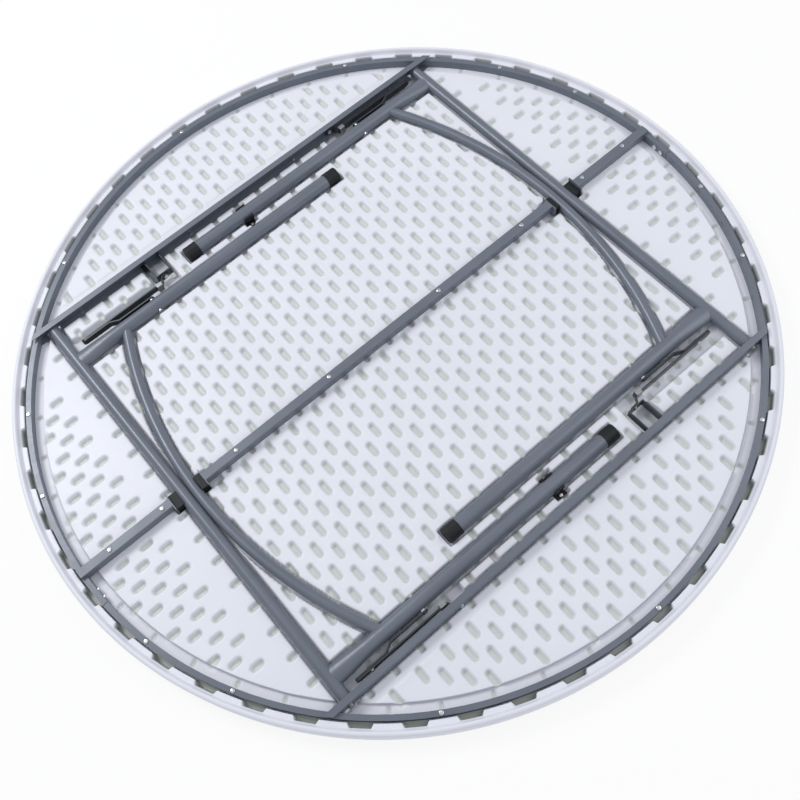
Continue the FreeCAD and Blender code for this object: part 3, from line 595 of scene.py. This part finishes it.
    def build(self) -> bpy.types.Object:
        """Builds the whole panel as one closed surface."""
        count = int(self.seam / self.step) + 1
        line = np.arange(-count, count + 1) * self.step
        x, y = np.meshgrid(line, line, indexing="ij")
        keep = np.hypot(x, y) < self.seam - 0.6 * self.step
        number = np.full(x.shape, -1, dtype=np.int64)
        number[keep] = np.arange(int(keep.sum()))
        corners = np.stack([number[:-1, :-1], number[1:, :-1], number[1:, 1:], number[:-1, 1:]], axis=-1)
        quads = corners[(corners >= 0).all(axis=-1)]
        flat_x, flat_y = x[keep], y[keep]
        height, hollow, pocket = self.relief(flat_x, flat_y)
        blocks = [np.stack([flat_x, flat_y, height], axis=1)]
        marks = [(hollow, pocket)]
        rows, faces = [], []
        base = len(flat_x)
        rims = [self.seam, 0.7365, 0.7385, 0.7398, 0.7405, 0.7412, 0.7419, 0.7426, 0.745, 0.7475, 0.750, 0.7535, 0.757, 0.7595,
                0.762, 0.766, 0.770, 0.7715, 0.7722, 0.7730, 0.7740, 0.7746, 0.7752, 0.7758, 0.7764, 0.778,
                0.7795, 0.7808, 0.7818, 0.7826, 0.7833, 0.7840, 0.7846, 0.7852, 0.7860, 0.7872, 0.7885, 0.790,
                0.7915, 0.7928, 0.7937]
        for radius in rims:
            angle = np.array(self.spokes(radius))
            ring_x, ring_y = radius * np.cos(angle), radius * np.sin(angle)
            height, hollow, pocket = self.relief(ring_x, ring_y)
            blocks.append(np.stack([ring_x, ring_y, height], axis=1))
            marks.append((hollow, pocket))
            rows.append(np.arange(base, base + len(angle)))
            base += len(angle)
        angle = np.array(self.spokes(self.radius))
        turns = [math.pi / 2 * k / 6 for k in range(7)]
        edge = [(self.radius - self.edge_round * (1 - math.sin(t)), self.rim_top - self.edge_round * (1 - math.cos(t)))
                for t in turns]
        edge += [(self.radius, self.rim_top / 2)]
        edge += [(rad, self.rim_top - z) for rad, z in reversed(edge[:7])]
        edge += [(rad, 0.0) for rad in (0.780, 0.70, 0.55, 0.35, 0.15)]
        for radius, z in edge:
            blocks.append(np.stack([radius * np.cos(angle), radius * np.sin(angle), np.full(len(angle), z)], axis=1))
            marks.append((np.zeros(len(angle)), np.zeros(len(angle))))
            rows.append(np.arange(base, base + len(angle)))
            base += len(angle)
        for low, high in zip(rows, rows[1:]):
            faces.append(np.stack([low, high, np.roll(high, -1), np.roll(low, -1)], axis=1))
        quads = np.concatenate([quads, *faces])
        blocks.append(np.array([[0.0, 0.0, 0.0]]))
        marks.append((np.zeros(1), np.zeros(1)))
        last = rows[-1]
        fan = [(int(a), base, int(b)) for a, b in zip(last, np.roll(last, -1))]
        points = np.concatenate(blocks)
        whole = (corners >= 0).all(axis=-1)
        triangles = self.strip(points, whole, self.stair(corners[whole]), rows[0].tolist()) + fan
        panel = new_piece("moulded_panel", points.tolist(), quads.tolist() + triangles)
        # The hollow and pocket marks steer the painted shade in the dimples' floors and the rim's pockets.
        for place, name in enumerate((HOLLOW, POCKET)):
            mark = panel.data.attributes.new(name, "FLOAT", "POINT")
            mark.data.foreach_set("value", np.concatenate([m[place] for m in marks]).astype(np.float32))
        return panel

    def stair(self, cells: np.ndarray) -> list[int]:
        """The outer loop of the grid's whole cells, anticlockwise."""
        starts = cells.reshape(-1)
        ends = np.roll(cells, -1, axis=1).reshape(-1)
        size = int(starts.max()) + 1
        forward = starts * size + ends
        backward = ends * size + starts
        lone = ~np.isin(forward, backward)
        follow = dict(zip(starts[lone].tolist(), ends[lone].tolist()))
        first = next(iter(follow))
        loop = [first]
        while follow[loop[-1]] != first:
            loop.append(follow[loop[-1]])
        return loop

    def strip(self, points: np.ndarray, whole: np.ndarray, inner: list[int],
              outer: list[int]) -> list[tuple[int, ...]]:
        """Joins the grid's stepped edge to the first ring.

        Args:
            points: all vertices.
            whole: the grid's whole cells.
            inner: the stepped loop.
            outer: the ring's vertices.

        Returns:
            Triangles.
        """
        names = [*inner, *outer]
        flat = [Vector(points[v][:2]) for v in names]
        edges = []
        for start, count in ((0, len(inner)), (len(inner), len(outer))):
            edges += [(start + k, start + (k + 1) % count) for k in range(count)]
        places, _, faces, origins, _, _ = delaunay_2d_cdt(flat, edges, [], 0, 1e-7)
        shift = whole.shape[0] // 2
        made = []
        for face in faces:
            middle = sum((places[v] for v in face), Vector((0.0, 0.0))) / len(face)
            i, j = (math.floor(c / self.step) + shift for c in middle)
            if not whole[i, j]:
                made.append(tuple(names[origins[v][0]] for v in face))
        return made

    def make(self, wardrobe: Wardrobe) -> None:
        """Builds, dresses and places the panel."""
        self.measure()
        panel = self.build()
        wardrobe.dress(panel, Finish.PANEL)
        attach(panel, ROOT)
        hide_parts("table_top")
        LOG.info("moulded panel: %d faces", len(panel.data.polygons))


# ---------------------------------------------------------------- frame and fittings
@dataclass(frozen=True)
class FrameDress:
    """Finishes of the frame, legs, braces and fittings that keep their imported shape."""

    finishes: tuple[tuple[str, Finish], ...] = (
        ("ring_half", Finish.FRAME), ("side_rail_upper", Finish.FRAME), ("side_rail_lower", Finish.FRAME),
        ("centre_rail", Finish.FRAME), ("stub_rail", Finish.FRAME), ("pivot_tube", Finish.FRAME),
        ("leg_tube", Finish.FRAME), ("arc_brace", Finish.FRAME), ("brace_bracket", Finish.DARK),
        ("saddle", Finish.BLACK), ("foot_cap", Finish.BLACK), ("tube_plugs", Finish.BLACK),
        ("leg_clip", Finish.BLACK), ("rail_link", Finish.DARK), ("leg_link", Finish.DARK),
        ("lock_ring", Finish.GREY), ("elbow_rivet", Finish.BRIGHT), ("leg_rivets", Finish.BRIGHT),
        ("rail_rivets", Finish.BRIGHT), ("anchor_spacers", Finish.GREY), ("pivot_pins", Finish.GREY),
        ("splice_bolts", Finish.BRIGHT), ("splice_nuts", Finish.BRIGHT))

    def finish_of(self, node: str) -> Finish:
        """The finish of a node, by the start of its name."""
        return next((finish for start, finish in self.finishes if node.startswith(start)), Finish.BRIGHT)

    def make(self, nodes: dict[str, bpy.types.Object], wardrobe: Wardrobe) -> None:
        """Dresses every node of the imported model."""
        for name, node in nodes.items():
            wardrobe.dress(node, self.finish_of(name))
        LOG.info("dressed %d nodes", len(nodes))


@dataclass
class PanScrews:
    """Pan-head screws with a cross recess, one piece for each packed set."""

    sets: tuple[str, ...] = ("ring_screws", "side_rail_screws", "centre_rail_screws", "stub_rail_screws", "clip_screws")
    crown: float = 0.0006
    recess: float = 0.0012
    arm: float = 0.0022
    arm_half: float = 0.0006

    def centres(self, node: bpy.types.Object) -> list[tuple[Vector, Vector]]:
        """The box of each loose part of a node.

        Args:
            node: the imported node.

        Returns:
            Lowest and highest corner of each part.
        """
        mesh = node.data
        keys: dict[tuple[int, int, int], int] = {}
        alias = [keys.setdefault(tuple(round(c * 1e6) for c in v.co), v.index) for v in mesh.vertices]
        parent = {k: k for k in alias}

        def top(k: int) -> int:
            while parent[k] != k:
                parent[k] = parent[parent[k]]
                k = parent[k]
            return k

        for face in mesh.polygons:
            first, *others = (alias[v] for v in face.vertices)
            for other in others:
                parent[top(first)] = top(other)
        groups: dict[int, list[Vector]] = {}
        for v in mesh.vertices:
            groups.setdefault(top(alias[v.index]), []).append(v.co)
        return [(Vector(map(min, zip(*g))), Vector(map(max, zip(*g)))) for g in groups.values()]

    def cross(self) -> list[Point]:
        """The recess's outline, in the order of the head's spokes."""
        a, b = self.arm, self.arm_half
        quarter = [(a, 0.0), (a, b), ((a + b) / 2, b), (b, b), (b, (a + b) / 2), (b, a)]
        points = []
        for k in range(4):
            ct, st = (1, 0, -1, 0)[k], (0, 1, 0, -1)[k]
            points += [(x * ct - y * st, x * st + y * ct) for x, y in quarter]
        return points

    def head(self, radius: float, low: float, high: float) -> tuple[list[tuple[float, float, float]], list[list[int]]]:
        """One head about +Z.

        Args:
            radius: the head's radius.
            low: height of its seat.
            high: height of its crown.

        Returns:
            Vertices and faces.
        """
        spokes = self.cross()
        count = len(spokes)
        turns = [math.atan2(y, x) for x, y in spokes]
        tall = high - low
        rings = [(radius, low), (radius, low + 0.45 * tall), (0.93 * radius, low + 0.78 * tall),
                 (0.78 * radius, high - 0.1 * tall)]
        vertices = [(r * math.cos(t), r * math.sin(t), z) for r, z in rings for t in turns]
        vertices += [(x, y, high) for x, y in spokes]
        vertices += [(0.8 * x, 0.8 * y, high - self.recess) for x, y in spokes]
        vertices.append((0.0, 0.0, high - 1.1 * self.recess))
        faces = []
        for row in range(len(rings) + 1):
            for k in range(count):
                a, b = row * count + k, row * count + (k + 1) % count
                faces.append([a, b, b + count, a + count])
        start = (len(rings) + 1) * count
        faces += [[start + k, start + (k + 1) % count, start + count] for k in range(count)]
        return vertices, faces

    def make(self, nodes: dict[str, bpy.types.Object], wardrobe: Wardrobe) -> None:
        """Builds and dresses the screws of every set."""
        for name in self.sets:
            vertices: list[tuple[float, float, float]] = []
            faces: list[list[int]] = []
            for place, (low, high) in enumerate(self.centres(nodes[name])):
                radius = (high.x - low.x) / 2
                points, sides = self.head(radius, high.z - 0.0024, high.z)
                spin = Matrix.Rotation(0.7 + 2.4 * place, 3, "Z")
                middle = Vector(((low.x + high.x) / 2, (low.y + high.y) / 2, 0.0))
                start = len(vertices)
                vertices += [tuple(spin @ Vector(p) + middle) for p in points]
                faces += [[start + v for v in side] for side in sides]
            piece = new_piece(name.removesuffix("screws") + "screw_heads", vertices, faces, smooth=False)
            wardrobe.dress(piece, Finish.BRIGHT)
            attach(piece, ROOT)
            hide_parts(name)
            LOG.info("%s: %d faces", piece.name, len(faces))


# ---------------------------------------------------------------- studio
@dataclass(frozen=True)
class Studio:
    """Pale floor, soft lamps and the camera."""

    eye: tuple[float, float, float] = (-0.47880236, -0.87265538, 1.76830197)
    azimuth: float = -2.07274177
    elevation: float = 1.11926617
    roll: float = -0.223017851
    lens: float = 42.790562955
    sensor: float = 36.0
    floor_size: float = 14.0
    world: float = 0.62

    def camera(self) -> None:
        """Sets the camera."""
        ce, se = math.cos(self.elevation), math.sin(self.elevation)
        ca, sa = math.cos(self.azimuth), math.sin(self.azimuth)
        back = Vector((ce * ca, ce * sa, se))
        right = Vector((-sa, ca, 0.0))
        up = back.cross(right)
        side = right * math.cos(self.roll) + up * math.sin(self.roll)
        head = up * math.cos(self.roll) - right * math.sin(self.roll)
        data = bpy.data.cameras.new("camera")
        data.sensor_width, data.lens = self.sensor, self.lens
        data.clip_end = 100.0
        camera = bpy.data.objects.new("camera", data)
        turn = Matrix((side, head, back)).transposed().to_4x4()
        camera.matrix_world = Matrix.Translation(self.eye) @ turn
        bpy.context.scene.collection.objects.link(camera)
        bpy.context.scene.camera = camera

    def lamp(self, name: str, place: tuple[float, float, float], size: float, watts: float) -> None:
        """Hangs a soft square lamp that faces the table.

        Args:
            name: the lamp's name.
            place: where it hangs, in metres.
            size: its side.
            watts: its power.
        """
        data = bpy.data.lights.new(name, "AREA")
        data.shape, data.size, data.energy = "SQUARE", size, watts
        lamp = bpy.data.objects.new(name, data)
        lamp.location = place
        lamp.rotation_euler = Vector(place).to_track_quat("Z", "Y").to_euler()
        bpy.context.scene.collection.objects.link(lamp)

    def floor(self) -> None:
        """Lays the floor, white to the eye and pale to the lamps."""
        half = self.floor_size / 2
        corners = [(-half, -half, -0.0004), (half, -half, -0.0004), (half, half, -0.0004), (-half, half, -0.0004)]
        floor = new_piece("studio_floor", corners, [[0, 1, 2, 3]], smooth=False)
        recipe = Recipe("studio_floor")
        recipe.set(Base_Color=(0.9, 0.9, 0.9, 1.0), Roughness=0.9, Specular_IOR_Level=0.1)
        glow = recipe.node("ShaderNodeEmission", inputs={"Color": (1, 1, 1, 1), "Strength": 1.0})
        rays = recipe.node("ShaderNodeLightPath")
        seen = sum((recipe.signal(rays.outputs[n]) for n in ("Is Glossy Ray", "Is Transmission Ray")),
                   recipe.signal(rays.outputs["Is Camera Ray"])).held()
        joined = recipe.node("ShaderNodeMixShader", inputs={0: seen * 0.85})
        recipe.feed(joined.inputs[1], recipe.shader.outputs[0])
        recipe.feed(joined.inputs[2], glow.outputs[0])
        out = next(n for n in recipe.tree.nodes if n.type == "OUTPUT_MATERIAL")
        recipe.feed(out.inputs["Surface"], joined.outputs[0])
        floor.data.materials.append(recipe.material)

    def backdrop(self) -> None:
        """Lights the surroundings evenly and shows them white."""
        world = bpy.data.worlds.new("studio")
        bpy.context.scene.world = world
        world.use_nodes = True
        tree = world.node_tree
        shade = tree.nodes["Background"]
        shade.inputs["Color"].default_value = (0.93, 0.95, 1.0, 1.0)
        rays = tree.nodes.new("ShaderNodeLightPath")
        lit = Signal(tree, rays.outputs["Is Camera Ray"])
        strength = lit * (1.0 - self.world) + self.world
        tree.links.new(strength.socket, shade.inputs["Strength"])

    def make(self) -> None:
        """Sets up the studio."""
        self.camera()
        self.floor()
        self.backdrop()
        self.lamp("key_lamp", (-1.2, 2.4, 3.0), 1.3, 62.0)
        self.lamp("fill_lamp", (2.2, -1.4, 2.6), 2.4, 30.0)
        bpy.context.scene.view_settings.view_transform = "Standard"
        LOG.info("studio set")


def main() -> None:
    """Builds the table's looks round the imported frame."""
    logging.basicConfig(level=logging.INFO, format="%(message)s")
    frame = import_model()
    wardrobe = Wardrobe()
    PanelTop().make(wardrobe)
    FrameDress().make(frame["nodes"], wardrobe)
    PanScrews().make(frame["nodes"], wardrobe)
    Studio().make()


if __name__ == "__main__":
    main()
